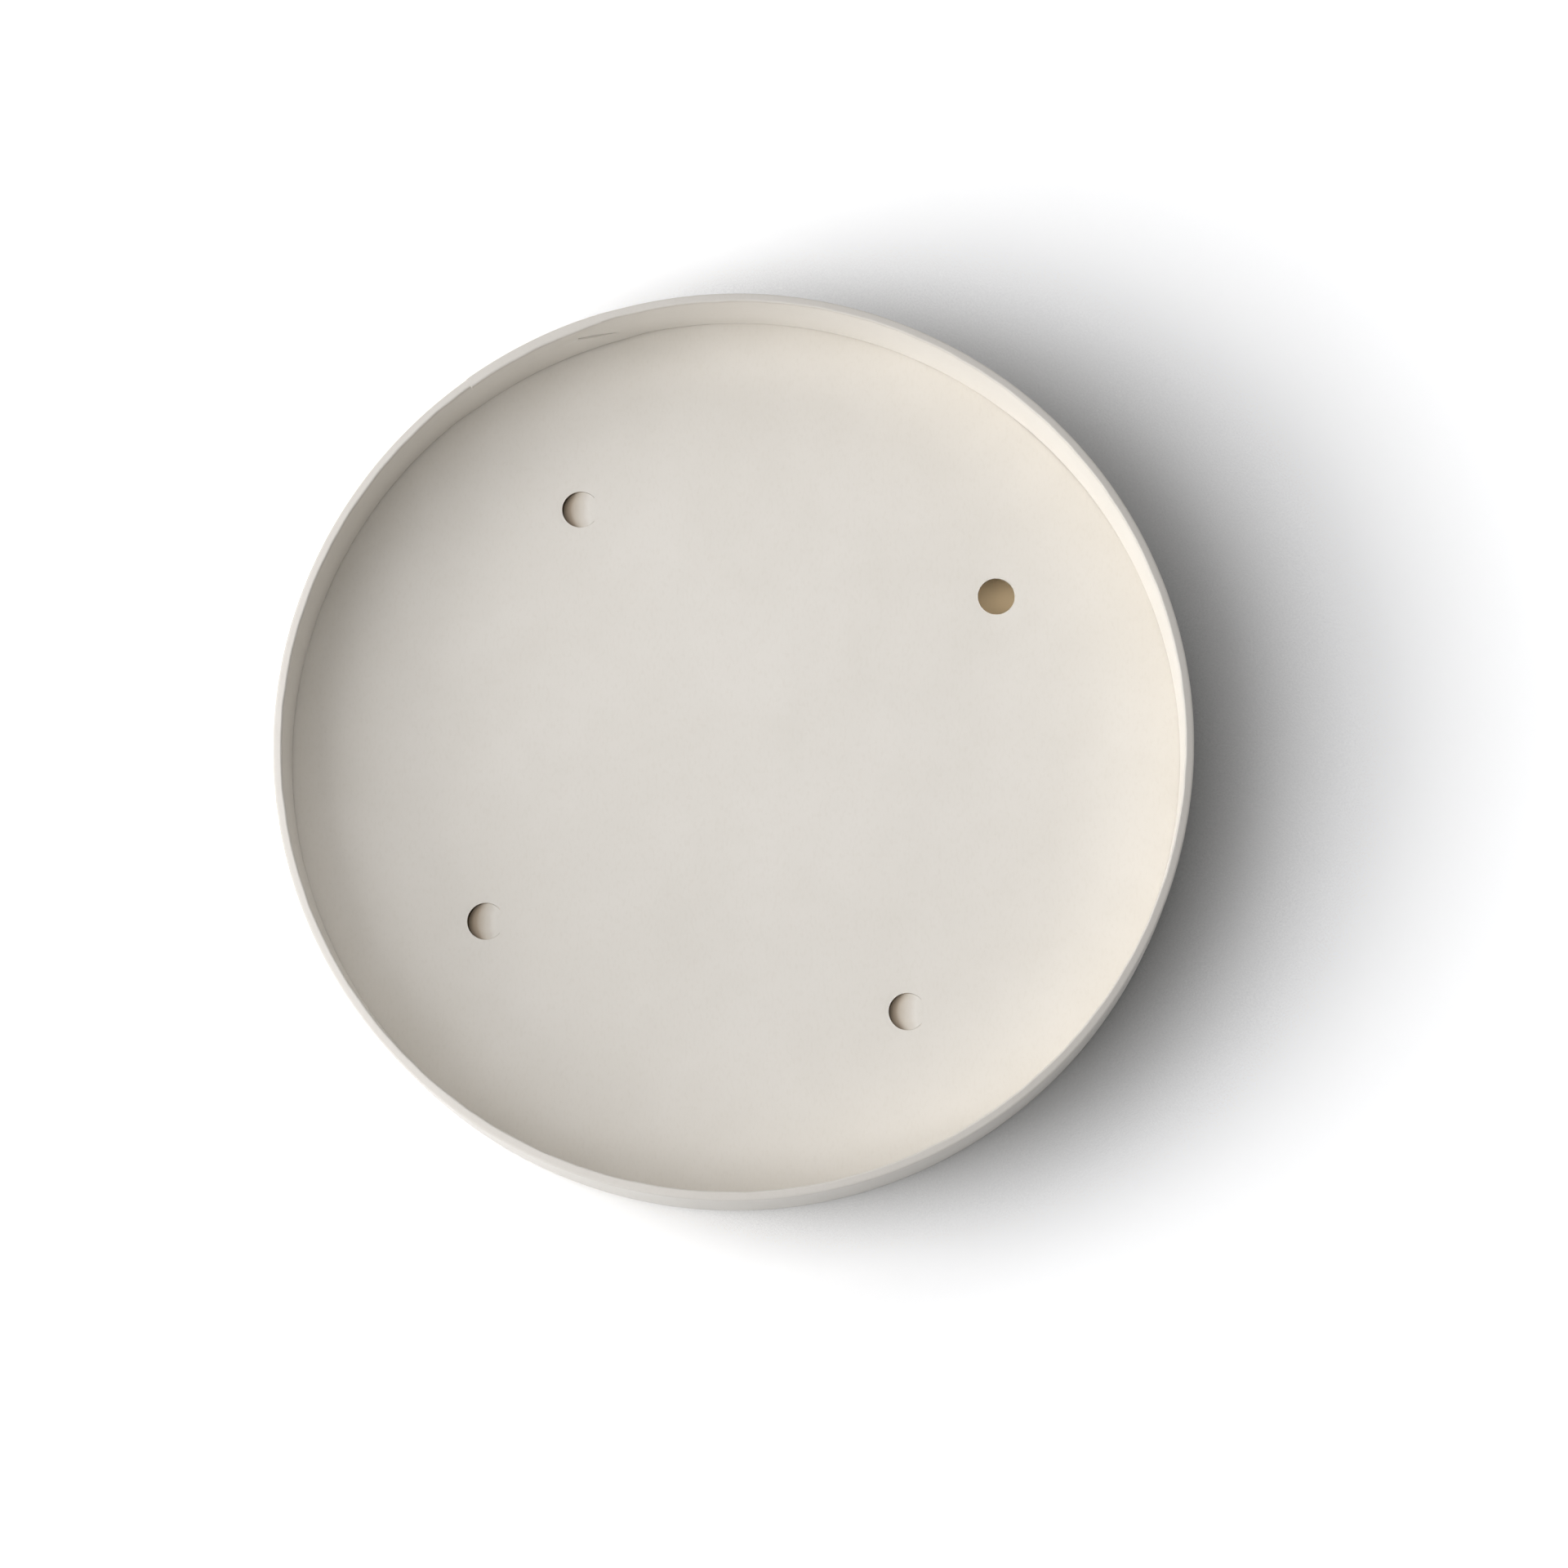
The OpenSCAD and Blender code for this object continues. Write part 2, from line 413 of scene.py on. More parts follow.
rim_line = crest(INNER_R, RING_R, LID_H)
hem_mid = RING_R - HEM_R
hem_r = RING_R - HEM_W
section_parts = {
    "inner face": straight(INNER_R, INNER_LOW + EDGE_ROUND, rim_line[0, 1], 28)[:-1],
    "rim": rim_line,
    "outer face": straight(RING_R, rim_line[-1, 1], HEM_Z, 14)[1:-1],
    "hem fold": arc(hem_mid, HEM_Z, HEM_R, 0, -180, 15),
    "hem face": straight(hem_r, HEM_Z, HEM_TOP - EDGE_ROUND, 7)[1:],
    "hem edge": straight(hem_r + EDGE_ROUND, HEM_TOP, HEM_TOP, 1),
    "hem edge back": straight(hem_r + BOARD_T - EDGE_ROUND, HEM_TOP, HEM_TOP, 1),
    "hem back": straight(hem_r + BOARD_T, HEM_TOP - EDGE_ROUND, HEM_Z, 4),
    "hem fold back": arc(hem_mid, HEM_Z, HEM_R - BOARD_T, -180, 0, 8)[1:],
    "wall back": straight(RING_R - BOARD_T, HEM_Z, FOLD_Z, 7)[1:-1],
    "rim back": arc(rim_mid, FOLD_Z, RIM_R - BOARD_T, 0, 180, 9),
    "inner back": straight(INNER_R + BOARD_T, FOLD_Z, INNER_LOW + EDGE_ROUND, 7)[1:],
    "raw edge back": straight(INNER_R + BOARD_T - EDGE_ROUND, INNER_LOW, INNER_LOW, 1),
    "raw edge": straight(INNER_R + EDGE_ROUND, INNER_LOW, INNER_LOW, 1),
}
section = np.vstack(list(section_parts.values()))
section[:, 1] = np.maximum(section[:, 1], 0)
part_names = [name for name, points in section_parts.items() for _ in points]
print("the section has", len(section), "points in", len(section_parts), "parts")

# %% [markdown]
# ## Where the lap seam lies
# The strip's two ends overlap by about 18 degrees of the ring. Outside, the upper end shows as
# one upright raw edge. Inside, the corner of the lower end was trimmed, so its edge slants down
# the wall, and in the middle it stands a hair off the layer below and shows as a dark slit.
# The slanted edge has to be crisp. A regular grid would cut across it in little steps, so the
# grid itself is sheared: each column leans with the edge, and straightens out further away.

# %% Columns round the ring
COLUMNS = 720
OUTER_EDGE = 126.0
TRIM_HOLD, TRIM_FADE = 2.0, 16.0
SLIT_TURN = 0.12
TRIM_DEPTHS = (0, 0.22, 0.37, 0.65, 1)
TRIM_ANGLES = (107.2, 109.6, 110.8, 105.6, 101.0)
TRIM_REFERENCE = 107.0
OUTER_EDGE_STEPS = (-0.5, -0.22, -0.1, -0.03, 0.0, 0.1, 0.22)
TRIM_STEPS = (-0.5, -0.3, -SLIT_TURN - 0.03, -SLIT_TURN, -0.03, 0.0, 0.05, 0.2, 0.4)
COLUMN_CLEARANCE = 0.18


def trim_shear(z):
    """How far the trimmed edge lies from its reference angle, at a height on the inner face."""
    depth = np.clip((LID_H - z) / (LID_H - DISC_TOP), 0, 1)
    return np.interp(depth, TRIM_DEPTHS, TRIM_ANGLES) - TRIM_REFERENCE


def column_angles():
    even = np.arange(COLUMNS) * 360 / COLUMNS
    near = [OUTER_EDGE + step for step in OUTER_EDGE_STEPS]
    near += [TRIM_REFERENCE + step for step in TRIM_STEPS]
    far = [a for a in even if min(abs(a - b) for b in near) > COLUMN_CLEARANCE]
    return np.array(sorted(far + near))


angles = column_angles()
print(len(angles), "columns of points round the ring")

# %% [markdown]
# ## Bend the section round the lid
# Each column takes the same section, and small named offsets shape it: the strip isn't quite
# round, the rim isn't quite level and its inner side wobbles a little, the raw edge inside
# wanders, and the lap swells the wall. The offsets are worked out for all columns at once, as
# arrays, which is far quicker than a loop over every point. An inset keeps the uneven ring
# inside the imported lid's box.

# %% Offsets of the ring
LAP_STEP = 0.2 * MM
SEAM_STEP = 0.1 * MM
SLIT_DEPTH = 0.22 * MM
EDGE_LIFT = 0.08 * MM
ROUNDNESS = ((2, 0.045 * MM, 60), (3, 0.03 * MM, 200), (5, 0.015 * MM, 75), (9, 0.008 * MM, 20))
RIM_LEVEL = ((2, 0.05 * MM, 130), (3, 0.04 * MM, 30), (7, 0.015 * MM, 250), (13, 0.008 * MM, 90))
RIM_WOBBLE = ((41, 0.020 * MM, 15), (67, 0.016 * MM, 210), (97, 0.012 * MM, 95))
WOBBLE_HEIGHTS = (LID_H - 3 * MM, LID_H - 0.6 * MM)
INSET = 0.1 * MM
RAW_EDGE_WANDER = (
    (1, 0.03 * MM, 140),
    (11, 0.02 * MM, 80),
    (23, 0.012 * MM, 10),
    (47, 0.008 * MM, 150),
)
RAW_EDGE_LIFTS = (
    # (middle and half width in degrees round the lid, lift)
    (45, 9, 0.10 * MM),
    (112, 6, 0.20 * MM),
    (135, 8, 0.05 * MM),
    (184, 9, 0.08 * MM),
    (352, 7, 0.06 * MM),
)
RAW_EDGE_REST = -0.10 * MM
RAW_EDGE_REACH = 0.4 * MM
# Depths are shares of the inner wall, from the rim down. Turns are degrees round the lid.
GAPE_OPENS, GAPE_CLOSES = (0.28, 0.46), (0.50, 0.70)
RIM_SHARP, RIM_SHARP_FADES = 0.4, (0.02, 0.16)
CRISP_FADES = (0.02, 0.12)
LAP_RISES = (0, 4)
LAP_ENDS = (OUTER_EDGE - 0.8, OUTER_EDGE + 4.5)
LIFT_FADES = (0, 2.2)
SEAM_RISES = (103, 109)
HAIR = 0.01


def part_is(*names):
    return np.array([name in names for name in part_names])


shows_inside = part_is("inner face", "raw edge")
shows_outside = part_is("outer face", "hem fold")
height_share = np.clip((section[:, 1] - DISC_TOP) / (FOLD_Z - DISC_TOP), 0, 1)
rim_turn = np.clip((section[:, 0] - INNER_R) / RIM_W, 0, 1)
inner_share = np.where(shows_inside, 1.0, 0.0)
inner_share = np.where(part_is("rim"), (1 - rim_turn) ** 1.5, inner_share)
outer_share = np.where(shows_outside, 1.0, 0.0)
outer_share = np.where(part_is("rim"), rim_turn ** 1.5, outer_share)


def raw_edge_rise(turn):
    """The raw edge's height over its drawn one: pressed down, with a few lifted places."""
    rise = RAW_EDGE_REST + wave(np.radians(turn), RAW_EDGE_WANDER)
    for middle, half, lift in RAW_EDGE_LIFTS:
        rise = rise + lift * np.exp(-((turn - middle) / half) ** 2)
    return rise


def lap_offsets(turn, z):
    """Radial offsets of the lap: inside, measured from the trimmed edge, and outside."""
    past_edge = turn - TRIM_REFERENCE
    depth = (LID_H - z) / (LID_H - DISC_TOP)
    gape = smooth_step(*GAPE_OPENS, depth) * (1 - smooth_step(*GAPE_CLOSES, depth))
    sharp = np.maximum(gape, RIM_SHARP * (1 - smooth_step(*RIM_SHARP_FADES, depth)))
    rise = sharp + (1 - sharp) * smooth_step(*LAP_RISES, past_edge)
    rise = np.where(past_edge >= 0, rise, 0.0)
    crisp = 1 - smooth_step(*CRISP_FADES, depth)
    fading = 1 - smooth_step(*LAP_ENDS, turn)
    raised = rise * (crisp * (turn <= OUTER_EDGE + HAIR) + (1 - crisp) * fading)
    lift = gape * (1 - smooth_step(*LIFT_FADES, past_edge)) * raised
    in_slit = (past_edge < -HAIR) & (past_edge > -SLIT_TURN - HAIR)
    inside = -LAP_STEP * raised - EDGE_LIFT * lift + np.where(in_slit, SLIT_DEPTH * gape, 0)
    before_edge = np.where(turn <= OUTER_EDGE - 2 * HAIR, 1.0, 0.0)
    outside = before_edge * smooth_step(*SEAM_RISES, turn) * SEAM_STEP
    return inside, outside


def ring_points():
    turn = np.repeat(angles[:, None], len(section), axis=1)
    r = np.repeat(section[None, :, 0], len(angles), axis=0)
    z = np.repeat(section[None, :, 1], len(angles), axis=0)
    inside, outside = lap_offsets(turn, z)
    fade = 1 - smooth_step(TRIM_HOLD, TRIM_FADE, np.abs(turn - TRIM_REFERENCE))
    swing = np.radians(turn + trim_shear(z) * fade * inner_share)
    out_of_round = wave(swing, ROUNDNESS) - INSET
    r = r + inside * inner_share + outside * outer_share + out_of_round * height_share
    r = r + wave(swing, RIM_WOBBLE) * inner_share * smooth_step(*WOBBLE_HEIGHTS, z)
    rim_rise = wave(swing, RIM_LEVEL) - INSET
    z = z + rim_rise * height_share ** 2
    near_edge = (section[:, 1] < INNER_LOW + RAW_EDGE_REACH) & shows_inside
    edge = part_is("raw edge", "raw edge back") | near_edge
    z = z + np.where(edge, raw_edge_rise(turn), 0)
    return np.stack([r * np.cos(swing), r * np.sin(swing), z], axis=2).reshape(-1, 3)


# %% [markdown]
# ## Close the ring
# The section is a closed loop, and so is the row of columns, so every point has four
# neighbours and every face is a quad. The raw edges get their own finish.

# %% Build the side ring


def ring_faces():
    columns, rows = len(angles), len(section)
    faces, kinds = [], []
    raw_rows = part_is("hem edge", "hem edge back", "raw edge", "raw edge back")
    for i in range(columns):
        after = (i + 1) % columns
        for j in range(rows):
            up = (j + 1) % rows
            faces.append((i * rows + j, after * rows + j, after * rows + up, i * rows + up))
            kinds.append(int(raw_rows[j] and raw_rows[up]))
    return faces, kinds


faces, kinds = ring_faces()
side_ring = new_piece("side_ring_board", ring_points(), faces, kinds, [ring_board, raw_edge])
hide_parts("side_ring")
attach(side_ring, "root")

# %% [markdown]
# ## The disc's vents
# The punch cut four rounds out of the disc, but three of them still hang on where the die
# didn't cut. Pushed from inside, each curls down on one side and joins the disc without an edge
# on the other. A boolean could cut the holes, but it would leave long thin faces, and it can't
# leave the flap joined. So the flat disc is triangulated with the cuts already in it.

# %% Vent sizes and places
VENT_R = 2.4 * MM
VENT_CIRCLE_R = 39.3 * MM
VENT_ANGLE = 32.6
VENT_SHIFT = (0.9 * MM, -0.5 * MM)
KERF = 0.03 * MM
HINGE_ANGLE = 40.0
FLAP_BEND_R = 6 * MM
FLAP_BEND_X = 1.5 * MM
FLAP_TILT = (13, 14.5, 12)
FLAP_EDGE_FROM = 0.45
FLAP_EDGE_SINK = 0.16 * MM


def vent_centre(k):
    turn = math.radians(VENT_ANGLE + 90 * k)
    x = VENT_SHIFT[0] + VENT_CIRCLE_R * math.cos(turn)
    y = VENT_SHIFT[1] + VENT_CIRCLE_R * math.sin(turn)
    return Vector((x, y))


vents = [vent_centre(k) for k in range(4)]
open_vent = vents[0]
flap_vents = list(zip(vents[1:], FLAP_TILT))
print("vents at", [tuple(round(c / MM, 1) for c in v) for v in vents], "mm")

# %% [markdown]
# ## Lay points over the disc
# Points sit close together where the shape changes: round every cut and along the disc's edge.
# Elsewhere a honeycomb of points, a millimetre and a half apart, is enough for the gentle warp.

# %% Points and cuts in the flat disc
EDGE_POINTS = 480
VENT_POINTS = 72
VENT_RING_POINTS = 48
HONEYCOMB = 1.5 * MM
ROW_SHARE = 0.866
HONEYCOMB_INSET = 1.9 * MM
HONEYCOMB_CLEARANCE = 4.6 * MM
# Radii of the rings of points, in millimetres: in from the disc's edge, or round a vent
EDGE_RINGS = (0.4, 1.1)
VENT_RINGS = (2.5, 2.65, 2.9, 3.3, 3.9)
FLAP_RINGS = (2.2, 2.0, 1.7, 1.35, 1.0, 0.65, 0.3)
disc_edge_r = FLANGE_R - BEND_R


def circle_points(centre, radius, start, end, count, closed):
    spots = []
    for turn in np.radians(np.linspace(start, end, count, endpoint=not closed)):
        x = centre[0] + radius * math.cos(turn)
        y = centre[1] + radius * math.sin(turn)
        spots.append(Vector((x, y)))
    return spots


def flat_layout():
    points = circle_points((0, 0), disc_edge_r, 0, 360, EDGE_POINTS, True)
    cuts = [(i, (i + 1) % EDGE_POINTS) for i in range(EDGE_POINTS)]

    def add_loop(loop):
        first = len(points)
        points.extend(loop)
        cuts.extend((first + i, first + (i + 1) % len(loop)) for i in range(len(loop)))

    add_loop(circle_points(open_vent, VENT_R, 0, 360, VENT_POINTS, True))
    first_hinge, last_hinge = HINGE_ANGLE, 360 - HINGE_ANGLE
    for centre, _ in flap_vents:
        outside = circle_points(centre, VENT_R, first_hinge, last_hinge, VENT_POINTS, False)
        inside = circle_points(centre, VENT_R - KERF, last_hinge, first_hinge, VENT_POINTS, False)
        add_loop(outside + inside)
    for inset in EDGE_RINGS:
        radius = disc_edge_r - inset * MM
        points.extend(circle_points((0, 0), radius, 0.4, 360.4, EDGE_POINTS // 2, True))
    for centre in vents:
        for radius in VENT_RINGS:
            points.extend(circle_points(centre, radius * MM, 2, 362, VENT_RING_POINTS, True))
    for centre, _ in flap_vents:
        for radius in FLAP_RINGS:
            count = max(8, int(20 * radius))
            points.extend(circle_points(centre, radius * MM, 3, 363, count, True))
    return points, cuts


def honeycomb():
    rows = int(disc_edge_r / (HONEYCOMB * ROW_SHARE)) + 1
    found = []
    for row in range(-rows, rows + 1):
        for column in range(-rows, rows + 1):
            x = (column + 0.5 * (row % 2)) * HONEYCOMB
            spot = Vector((x, row * ROW_SHARE * HONEYCOMB))
            nearest = min((spot - centre).length for centre in vents)
            on_disc = spot.length < disc_edge_r - HONEYCOMB_INSET
            if on_disc and nearest > HONEYCOMB_CLEARANCE:
                found.append(spot)
    return found


layout, cuts = flat_layout()
layout += honeycomb()
print(len(layout), "points and", len(cuts), "cut edges in the flat disc")

# %% [markdown]
# ## Triangulate it
# Blender's constrained triangulation joins the points and keeps every cut as an edge. It works
# in plain units, so the points go in as millimetres. Triangles inside the open vent and inside
# the narrow cuts round the flaps are then dropped.

# %% Triangles of the flat disc


def in_a_cut(spot):
    if (spot - open_vent).length < VENT_R:
        return True
    for centre, _ in flap_vents:
        away = spot - centre
        turn = abs(math.degrees(math.atan2(away.y, away.x)))
        if VENT_R - KERF < away.length < VENT_R and turn > HINGE_ANGLE:
            return True
    return False


def triangulate(points, edges):
    scaled = [point / MM for point in points]
    made = geometry.delaunay_2d_cdt(scaled, edges, [], 0, 1e-6)
    flat = [Vector(point) * MM for point in made[0]]
    came_from = made[3]
    kept = []
    for triangle in made[2]:
        middle = (flat[triangle[0]] + flat[triangle[1]] + flat[triangle[2]]) / 3
        if not in_a_cut(middle):
            kept.append(tuple(triangle))
    return flat, kept, came_from


flat, triangles, came_from = triangulate(layout, cuts)
edge_index = {}
for index, sources in enumerate(came_from):
    for source in sources:
        if source < EDGE_POINTS:
            edge_index[source] = index
print(len(flat), "points,", len(triangles), "triangles,", len(edge_index), "on the edge")

# %% [markdown]
# ## Give the disc its shape
# The flat layout becomes board: a faint warp all over, a slight draw-down round each punched
# edge, and the three flaps pushed down. Each flap bends gently from its hinge side, then sinks
# straight, at about thirteen degrees, and its cut edge sinks a little more than its middle. A
# steeper flap would face the left light and glow, and would open a black gap at its free end.
# The photograph has only a soft dark crescent.

# %% Heights and thickness of the disc
WARP = 0.02 * MM
DRAW_DOWN = 0.05 * MM
DRAW_REACH = 0.9 * MM
HINGE_BLEND = (0.2, 0.75)


def board_warp(spot):
    """A shallow uneven wave that dies out at the disc's edge."""
    x, y = spot.x / INNER_R, spot.y / INNER_R
    fade = max(0.0, 1 - (x * x + y * y))
    return WARP * fade * (math.sin(2.1 * x + 1.3 * y + 0.4) + 0.6 * math.cos(3.3 * y - 1.7 * x))


def draw_down(spot):
    """The dip round a punched edge. There is none beside a hinge, where the board wasn't cut."""
    centre = min(vents, key=lambda vent: (spot - vent).length)
    away = spot - centre
    near = away.length - VENT_R
    if near < 0:
        return 0.0
    hinged = 0.0
    if centre != open_vent:
        hinged = float(smooth_step(*HINGE_BLEND, away.x / away.length))
    return -DRAW_DOWN * (1 - hinged) * max(0.0, 1 - near / DRAW_REACH) ** 2


def flap_of(spot):
    for centre, tilt in flap_vents:
        away = spot - centre
        if away.length < VENT_R - 0.5 * KERF and away.x < FLAP_BEND_X:
            return centre, math.radians(tilt)
    return None


def board_point(spot):
    """The upper point of the board at a spot, and the way that its face looks there."""
    z = DISC_TOP + board_warp(spot) + draw_down(spot)
    flap = flap_of(spot)
    if flap is None:
        return Vector((spot.x, spot.y, z)), Vector((0, 0, 1))
    centre, tilt = flap
    along = FLAP_BEND_X - (spot.x - centre.x)
    bend = min(along / FLAP_BEND_R, tilt)
    flat_part = along - bend * FLAP_BEND_R
    x = centre.x + FLAP_BEND_X - FLAP_BEND_R * math.sin(bend) - flat_part * math.cos(bend)
    z -= FLAP_BEND_R * (1 - math.cos(bend)) + flat_part * math.sin(bend)
    edge_share = float(smooth_step(FLAP_EDGE_FROM, 1.0, (spot - centre).length / VENT_R))
    z -= FLAP_EDGE_SINK * edge_share * min(1.0, along / VENT_R)
    return Vector((x, spot.y, z)), Vector((-math.sin(bend), 0, math.cos(bend)))


upper = [board_point(spot) for spot in flat]
top_points = np.array([point for point, _ in upper])
low_points = np.array([point - BOARD_T * facing for point, facing in upper])
print(f"lowest point of a flap {low_points[:, 2].min() / MM:.2f} mm above the floor")

# %% [markdown]
# ## Turn its edge down
# The disc is held by a short flange, turned down all round and caught in the ring's hem. It is
# swept from a small section whose first and last points are the disc's own edge, so the board
# runs into it without a join. The loose ends of the cuts are walled with narrow quads.

# %% Build the disc
BOARD_FACE, RAW_FACE, FLAP_FACE = 0, 1, 2
BEND_POINTS = 9
FLANGE_POINTS = 4


def flange_section():
    bend = arc(disc_edge_r, DISC_TOP - BEND_R, BEND_R, 90, 0, BEND_POINTS)[1:]
    down = straight(FLANGE_R, DISC_TOP - BEND_R, HEM_Z + FLANGE_GAP, FLANGE_POINTS)[1:]
    up = straight(FLANGE_R - BOARD_T, HEM_Z + FLANGE_GAP, DISC_TOP - BEND_R, FLANGE_POINTS)
    back = arc(disc_edge_r, DISC_TOP - BEND_R, BEND_R - BOARD_T, 0, 90, 6)[1:-1]
    return np.vstack([bend, down, up, back])


def disc_mesh():
    points = [top_points, low_points]
    count = len(top_points)
    faces = [tuple(t) for t in triangles]
    kinds = [FLAP_FACE if any(flap_of(flat[i]) for i in t) else BOARD_FACE for t in triangles]
    faces += [(c + count, b + count, a + count) for a, b, c in triangles]
    kinds += [BOARD_FACE] * len(triangles)
    used = {}
    for a, b, c in triangles:
        for edge in ((a, b), (b, c), (c, a)):
            used[edge] = True
    around = range(EDGE_POINTS)
    rim = {edge_index[i] for i in around}
    for a, b in used:
        if (b, a) not in used and not (a in rim and b in rim):
            faces.append((b, a, a + count, b + count))
            kinds.append(RAW_FACE)
    profile = flange_section()
    turn = np.radians(np.arange(EDGE_POINTS) * 360 / EDGE_POINTS)
    level = np.ones(EDGE_POINTS)
    loop = [np.column_stack([r * np.cos(turn), r * np.sin(turn), z * level]) for r, z in profile]
    rings = [[edge_index[i] for i in around]]
    rings += [[2 * count + k * EDGE_POINTS + i for i in around] for k in range(len(profile))]
    rings.append([edge_index[i] + count for i in around])
    # The flange's cut end runs from the last point going down to the first one going up.
    cut_ring = (BEND_POINTS - 1) + (FLANGE_POINTS - 1)
    for k in range(len(rings) - 1):
        for i in around:
            j = (i + 1) % EDGE_POINTS
            faces.append((rings[k][i], rings[k + 1][i], rings[k + 1][j], rings[k][j]))
            kinds.append(RAW_FACE if k == cut_ring else BOARD_FACE)
    return np.vstack(points + loop), faces, kinds


points, faces, kinds = disc_mesh()
top_disc = new_piece("top_disc_board", points, faces, kinds, [disc_board, raw_edge, flap_shaded_board])
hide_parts("top_disc")
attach(top_disc, "root")

# %% [markdown]
# ## A floor that stays white
# The lid lies on a plain white surface that photographs as pure white and still takes a soft
# grey shadow. More light would burn out the lid. Instead the floor's own colour is lifted for
# the rays that the camera and reflections see, and stays an ordinary white for the light that
# bounces back onto the board. A print of such a photograph has a deep shadow, because its pale
# tones are pushed to white and the rest keeps its contrast. Ambient occlusion, looking towards
# the panels on the left, says how much of them the lid hides, and a power of it deepens the tone.
# Through the open vent the photograph shows a warm tan. That is painted light: under the lid the
# floor is drawn tan, for the warm light that bounces between board and floor in the shade there. A
# second sheet could be laid there, but a mask by distance does it without another piece.

# %% Floor
FLOOR_HALF = 3.0
FLOOR_SEEN = (1.45, 1.43, 1.38)
FLOOR_BOUNCE = 0.5
SHADOW_REACH = 0.06
SHADOW_DEPTH = 1.75
SHADOW_SAMPLES = 3
TOWARD_PANELS = (-0.9, -0.15, 0.4)
UNDER_LID_R = 0.052
# Painted warm light: the floor under the lid is drawn tan, and bounces a warm tone there too.
UNDER_LID_PAINTED_WARM_LIGHT = (1.62, 1.22, 0.72, 1)
UNDER_LID_BOUNCE = (0.80, 0.62, 0.38, 1)


def floor_tone(tree):
    """How bright the floor is drawn: full in the open, deeper where the lid hides the panels."""
    reach = {"Distance": SHADOW_REACH}
    hidden = add_node(tree, "ShaderNodeAmbientOcclusion", reach, samples=SHADOW_SAMPLES)
    toward = add_node(tree, "ShaderNodeCombineXYZ", dict(zip("XYZ", TOWARD_PANELS)))
    tree.links.new(toward.outputs["Vector"], hidden.inputs["Normal"])
    deepened = add_node(tree, "ShaderNodeMath", operation="POWER")
    deepened.inputs[1].default_value = SHADOW_DEPTH
    tree.links.new(hidden.outputs["AO"], deepened.inputs[0])
    lifted = add_node(tree, "ShaderNodeVectorMath", operation="SCALE")
    lifted.inputs[0].default_value = FLOOR_SEEN
    tree.links.new(deepened.outputs["Value"], lifted.inputs["Scale"])
    return lifted.outputs["Vector"]


def under_lid(tree):
    """One under the lid and nought outside, by the distance from the lid's axis."""
    place = tree.nodes.new("ShaderNodeTexCoord").outputs["Object"]
    away = add_node(tree, "ShaderNodeVectorMath", operation="LENGTH")
    tree.links.new(place, away.inputs[0])
    near = add_node(tree, "ShaderNodeMath", operation="LESS_THAN")
    near.inputs[1].default_value = UNDER_LID_R
    tree.links.new(away.outputs["Value"], near.inputs[0])
    return near.outputs["Value"]


def two_tones(tree, mask, outside, inside):
    """A diffuse shader that is one colour, or one output, outside the lid and another under it."""
    pick = add_node(tree, "ShaderNodeMix", {"B": inside}, data_type="RGBA")
    tree.links.new(mask, pick.inputs["Factor"])
    if isinstance(outside, tuple):
        pick.inputs["A"].default_value = outside
    else:
        tree.links.new(outside, pick.inputs["A"])
    shader = tree.nodes.new("ShaderNodeBsdfDiffuse")
    tree.links.new(pick.outputs["Result"], shader.inputs["Color"])
    return shader.outputs["BSDF"]


def floor_material():
    material = bpy.data.materials.new("floor_white")
    material.use_nodes = True
    tree = material.node_tree
    tree.nodes.remove(tree.nodes["Principled BSDF"])
    mask = under_lid(tree)
    seen = two_tones(tree, mask, floor_tone(tree), UNDER_LID_PAINTED_WARM_LIGHT)
    bounce = two_tones(tree, mask, (*[FLOOR_BOUNCE] * 3, 1), UNDER_LID_BOUNCE)
    path = tree.nodes.new("ShaderNodeLightPath")
    is_seen = path.outputs["Is Camera Ray"]
    for ray in ("Is Glossy Ray", "Is Transmission Ray"):
        either = add_node(tree, "ShaderNodeMath", operation="MAXIMUM")
        tree.links.new(is_seen, either.inputs[0])
        tree.links.new(path.outputs[ray], either.inputs[1])
        is_seen = either.outputs["Value"]
    blend = tree.nodes.new("ShaderNodeMixShader")
    tree.links.new(is_seen, blend.inputs["Fac"])
    tree.links.new(bounce, blend.inputs[1])
    tree.links.new(seen, blend.inputs[2])
    tree.links.new(blend.outputs["Shader"], tree.nodes["Material Output"].inputs["Surface"])
    return material


def make_floor():
    signs = ((-1, -1), (1, -1), (1, 1), (-1, 1))
    corners = [(x * FLOOR_HALF, y * FLOOR_HALF, 0) for x, y in signs]
    mesh = bpy.data.meshes.new("floor")
    mesh.from_pydata(corners, [], [(0, 1, 2, 3)])
    mesh.materials.append(floor_material())
    floor = bpy.data.objects.new("floor", mesh)
    bpy.context.scene.collection.objects.link(floor)
    return floor


floor = make_floor()
print("floor:", floor.name)

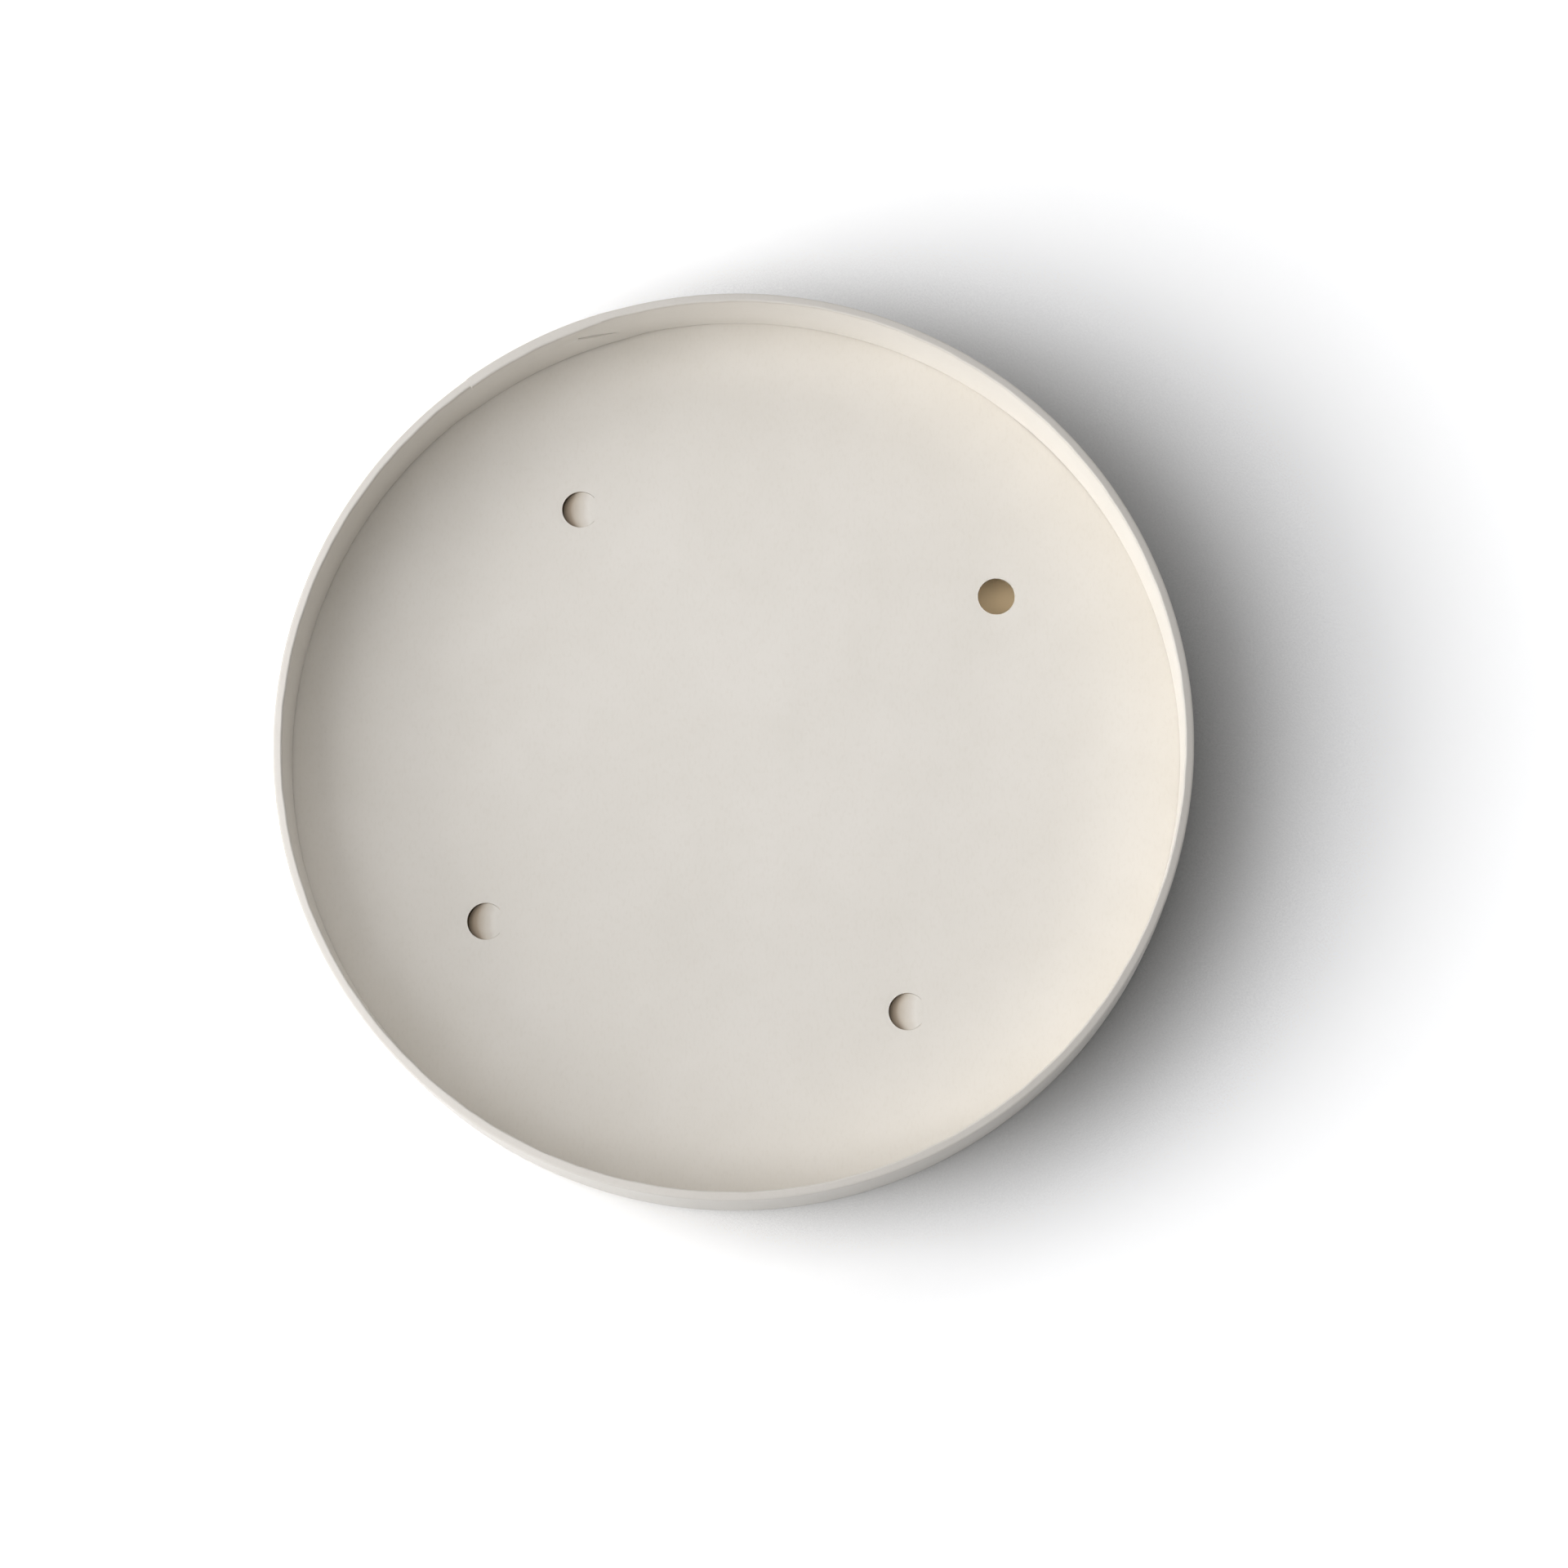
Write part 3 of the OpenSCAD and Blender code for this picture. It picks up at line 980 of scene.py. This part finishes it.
# %% [markdown]
# ## Soft light, mostly from the left
# Product photographs of white board are lit by big soft panels, not by bare lamps. The largest
# stands on the left and reaches low, so the left wall shades the disc, the right wall glows and
# a soft shadow falls to the right. Weaker panels keep the far and near walls from going grey,
# and the weakest, low on the right, lifts the inside of the left wall out of its own shade.
# A panel is given by where it stands, how wide it looks from the lid and how much light it
# brings there, because those three can be judged from the photograph.

# %% Light
PANEL_DISTANCE = 1.3
PANEL_COLOUR = (0.985, 1.0, 1.045)
WORLD_STRENGTH = 0.01
PANELS = {
    # name: (angle round the lid, height, width and tallness as seen from the lid, irradiance)
    "left_low": (190, 22, 36, 22, 1.60),
    "left_high": (190, 50, 50, 34, 1.35),
    "overhead": (0, 85, 60, 60, 1.22),
    "far_side": (92, 32, 50, 30, 0.85),
    "near_left": (235, 11, 44, 14, 0.95),
    "right_low": (355, 12, 60, 16, 0.33),
}


def make_panel(name, turn, height, wide, tall, irradiance):
    turn, height = math.radians(turn), math.radians(height)
    level = math.cos(height)
    toward = Vector((math.cos(turn) * level, math.sin(turn) * level, math.sin(height)))
    data = bpy.data.lights.new(name, "AREA")
    data.shape = "RECTANGLE"
    data.size = 2 * PANEL_DISTANCE * math.tan(math.radians(wide) / 2)
    data.size_y = 2 * PANEL_DISTANCE * math.tan(math.radians(tall) / 2)
    data.energy = irradiance * math.pi * PANEL_DISTANCE ** 2
    data.color = PANEL_COLOUR
    panel = bpy.data.objects.new(name, data)
    facing = (-toward).to_track_quat("-Z", "Y").to_matrix().to_4x4()
    panel.matrix_world = Matrix.Translation(toward * PANEL_DISTANCE) @ facing
    panel.visible_camera = False
    bpy.context.scene.collection.objects.link(panel)
    print(f"{name}: {data.energy:.1f} W")


def make_world():
    world = bpy.data.worlds.new("room")
    world.use_nodes = True
    background = world.node_tree.nodes["Background"]
    background.inputs["Color"].default_value = (1, 1, 1, 1)
    background.inputs["Strength"].default_value = WORLD_STRENGTH
    bpy.context.scene.world = world
    print("room light:", WORLD_STRENGTH)


for name, numbers in PANELS.items():
    make_panel(name, *numbers)
make_world()
bpy.context.scene.view_settings.view_transform = "Standard"
